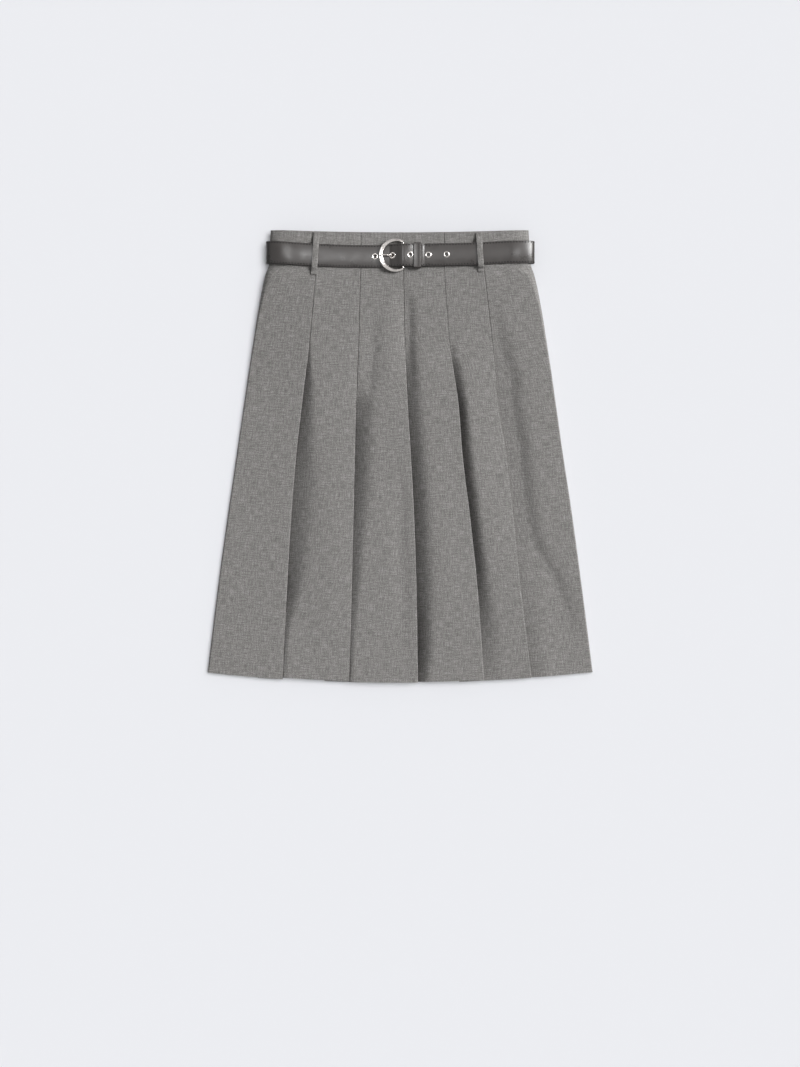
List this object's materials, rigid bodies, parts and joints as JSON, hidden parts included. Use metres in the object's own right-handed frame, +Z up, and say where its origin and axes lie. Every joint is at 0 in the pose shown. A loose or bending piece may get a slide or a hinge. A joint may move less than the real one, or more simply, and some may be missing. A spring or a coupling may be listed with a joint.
{
  "type": "pleated skirt with belt, laid flat",
  "caption": "A-line pleated skirt in grey wool cloth, laid flat: knife pleats stitched down to the hip and open to the hem, a leather belt with a horseshoe buckle in cloth loops",
  "frame": {"origin": "middle of the underside of the whole skirt, on the surface it lies on", "axes": "+X to the viewer's right across the front, +Y from the hem to the waist, +Z up out of the surface, through the front"},
  "size_m": [0.5512, 0.6466, 0.031],
  "materials": {
    "wool": "mid-grey melange wool suiting, plain weave, dry hand with a low nap",
    "leather": "smooth anthracite leather with a satin finish and edge stitching",
    "metal": "polished nickel-plated metal"
  },
  "bodies": {
    "root": {"front_panel_1": "wool", "front_panel_2": "wool", "front_panel_3": "wool", "front_panel_4": "wool", "front_panel_5": "wool", "front_panel_6": "wool", "back_panel_1": "wool", "back_panel_2": "wool", "back_panel_3": "wool", "back_panel_4": "wool", "back_panel_5": "wool", "back_panel_6": "wool", "front_loop_left": "wool", "front_loop_right": "wool", "back_loop_left": "wool", "back_loop_right": "wool", "belt_strap": "leather", "belt_keeper": "leather", "buckle_frame": "metal", "buckle_prong": "metal", "eyelet_1": "metal", "eyelet_2": "metal", "eyelet_3": "metal", "eyelet_4": "metal", "eyelet_5": "metal"}
  },
  "joints": []
}
